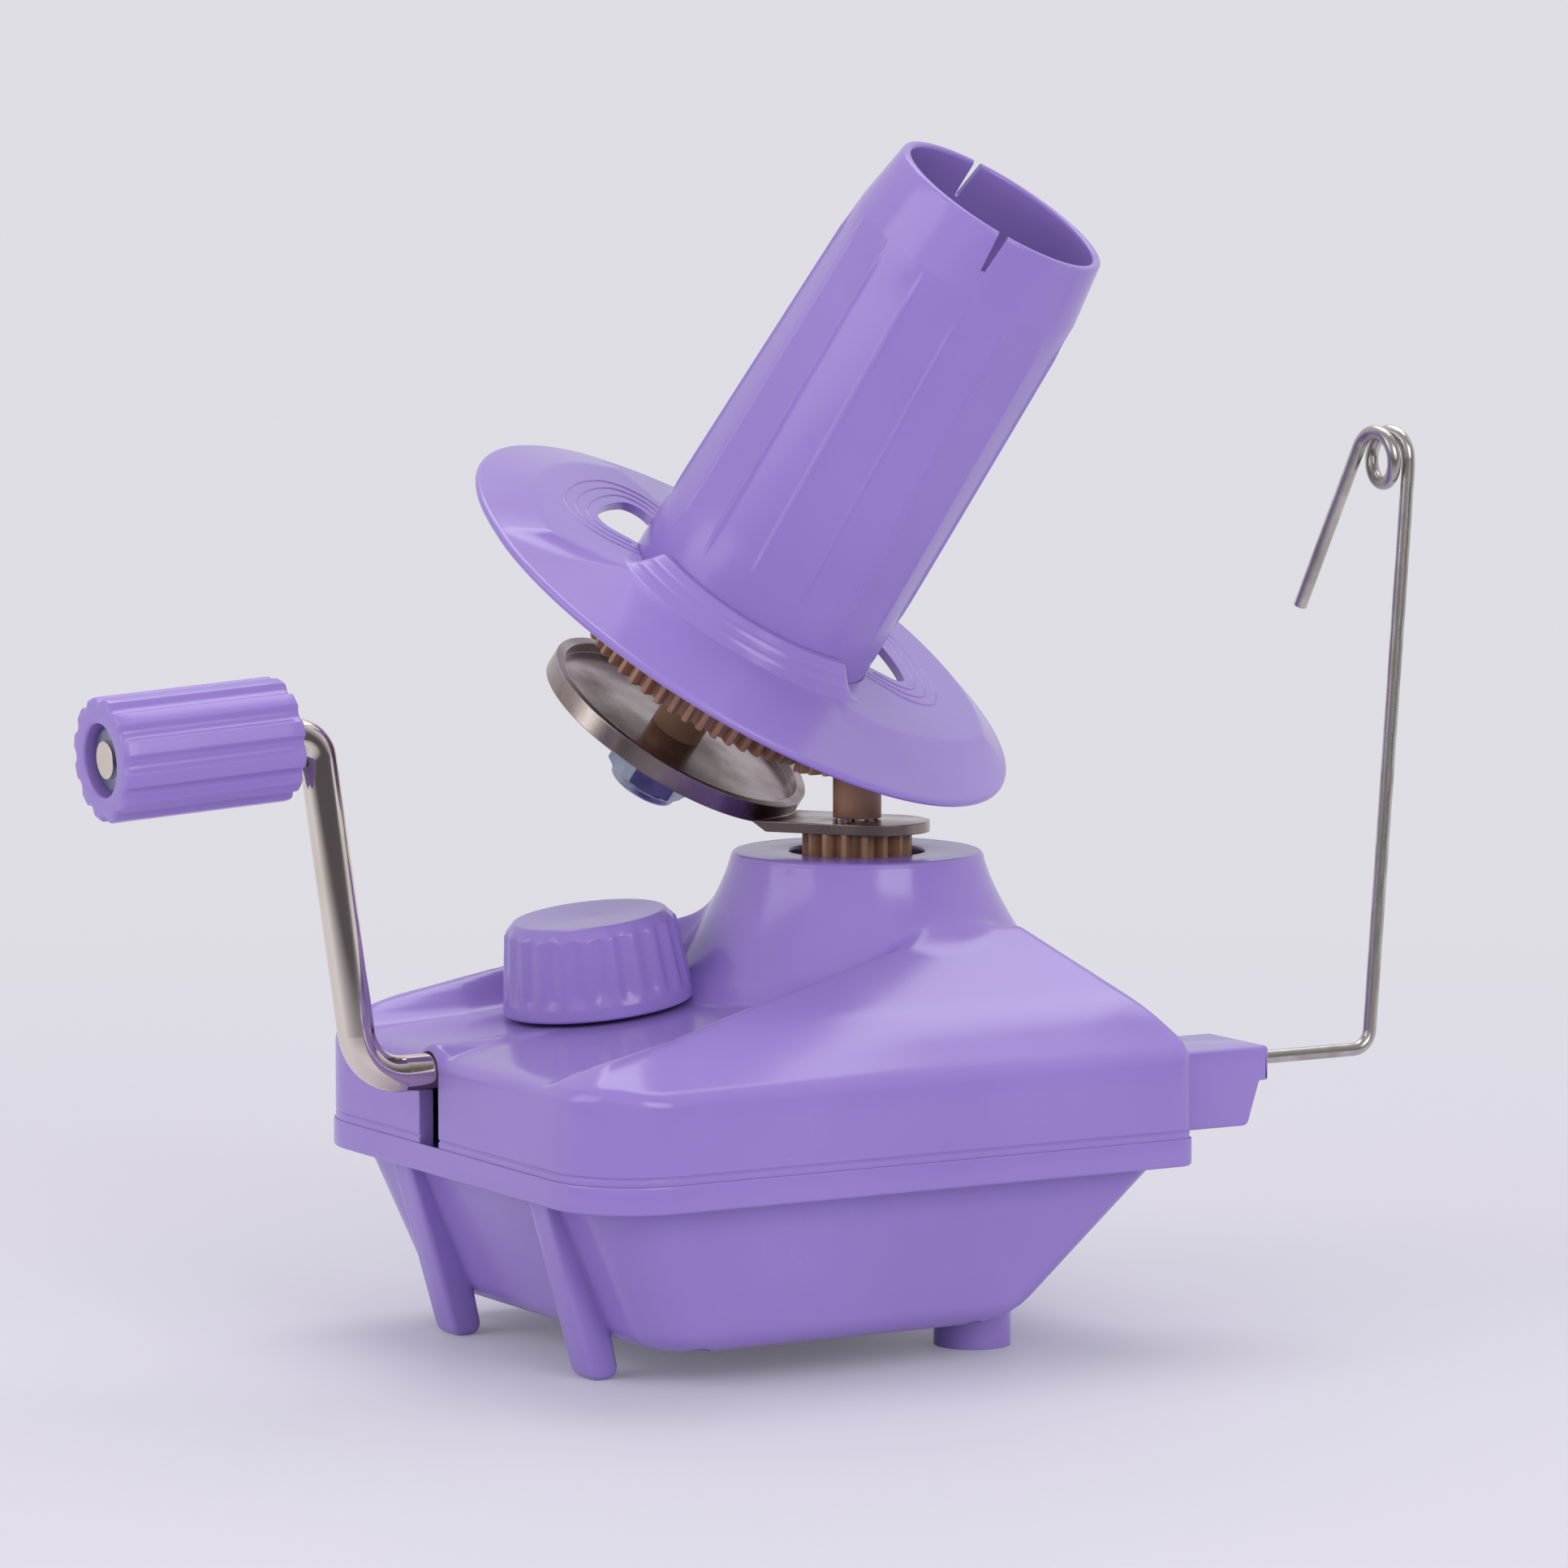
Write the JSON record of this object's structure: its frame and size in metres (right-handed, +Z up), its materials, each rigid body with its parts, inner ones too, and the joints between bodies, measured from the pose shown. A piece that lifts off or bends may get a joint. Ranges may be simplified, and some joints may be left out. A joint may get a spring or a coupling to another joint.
{
  "type": "yarn ball winder",
  "caption": "Hand-cranked winder: a crank turns a geared spindle that carries a leaning, spinning cone with a brim, and a wire eye feeds the yarn to it.",
  "frame": {"origin": "on the spindle axis at the height of the table top that the feet stand on", "axes": "+X from the crank end to the yarn guide, +Y to the far side, +Z up along the spindle"},
  "size_m": [0.2266, 0.1229, 0.2012],
  "materials": {
    "lavender_plastic": "glossy moulded plastic",
    "brown_nylon": "satin moulded nylon",
    "bronze": "sintered, oiled",
    "brass": "turned",
    "polished_nickel": "polished plated rod",
    "zinc": "bright zinc plate",
    "pressed_steel": "pressed and plated",
    "screw_steel": "plain plated screws",
    "wire_steel": "drawn bright wire"
  },
  "bodies": {
    "housing": {"upper_cover": "lavender_plastic", "lower_tub": "lavender_plastic", "front_feet": "lavender_plastic", "cover_screws": "screw_steel", "crank_bush_rear": "bronze", "crank_bush_front": "bronze", "centre_post": "polished_nickel", "post_screw": "screw_steel", "post_base_screw": "screw_steel", "post_pinion": "brown_nylon", "thrust_washer": "brown_nylon"},
    "crank": {"crank_rod": "polished_nickel", "crank_collar": "polished_nickel", "crown_gear": "brown_nylon", "crown_gear_pin": "polished_nickel", "grip_washer": "zinc", "grip_retainer": "zinc"},
    "grip": {"crank_grip": "lavender_plastic"},
    "spindle": {"spindle_pinion": "brown_nylon", "carrier_plate": "pressed_steel", "carrier_rivets": "pressed_steel", "axle_bolt": "zinc", "axle_washer": "zinc", "axle_spacer": "brown_nylon", "axle_locknut": "zinc"},
    "cone": {"ring_gear": "brown_nylon", "ring_gear_screws": "screw_steel", "winding_cone": "lavender_plastic", "yarn_flange": "lavender_plastic"},
    "knob": {"clamp_knob": "lavender_plastic", "knob_insert": "brass", "knob_retainer": "zinc"},
    "guide": {"yarn_guide_wire": "wire_steel", "guide_ring": "zinc"}
  },
  "joints": [
    {"name": "crank_spin", "type": "hinge", "parent": "housing", "child": "crank", "pos_m": [-0.07, 0, 0.048], "axis": [1, 0, 0], "continuous": true},
    {"name": "grip_spin", "type": "hinge", "parent": "crank", "child": "grip", "pos_m": [-0.12356, 0, 0.10408], "axis": [-0.9981, 0, -0.061], "continuous": true},
    {"name": "spindle_spin", "type": "hinge", "parent": "housing", "child": "spindle", "pos_m": [0, 0, 0.075], "axis": [0, 0, 1], "continuous": true},
    {"name": "cone_spin", "type": "hinge", "parent": "spindle", "child": "cone", "pos_m": [-0.01477, 0.01997, 0.11307], "axis": [0.3283, -0.4437, 0.8339], "continuous": true},
    {"name": "clamp_knob_spin", "type": "hinge", "parent": "housing", "child": "knob", "pos_m": [-0.0461, 0.008, 0.05591], "axis": [-0.1219, 0, 0.9925], "continuous": true},
    {"name": "yarn_guide_swivel", "type": "hinge", "parent": "housing", "child": "guide", "pos_m": [0.04, -0.045, 0.0461], "axis": [1, 0, 0], "range_deg": [-90, 90]}
  ],
  "couplings": [
    {"joint": "spindle_spin", "follows": "crank_spin", "ratio": 3},
    {"joint": "cone_spin", "follows": "crank_spin", "ratio": 1.32}
  ]
}
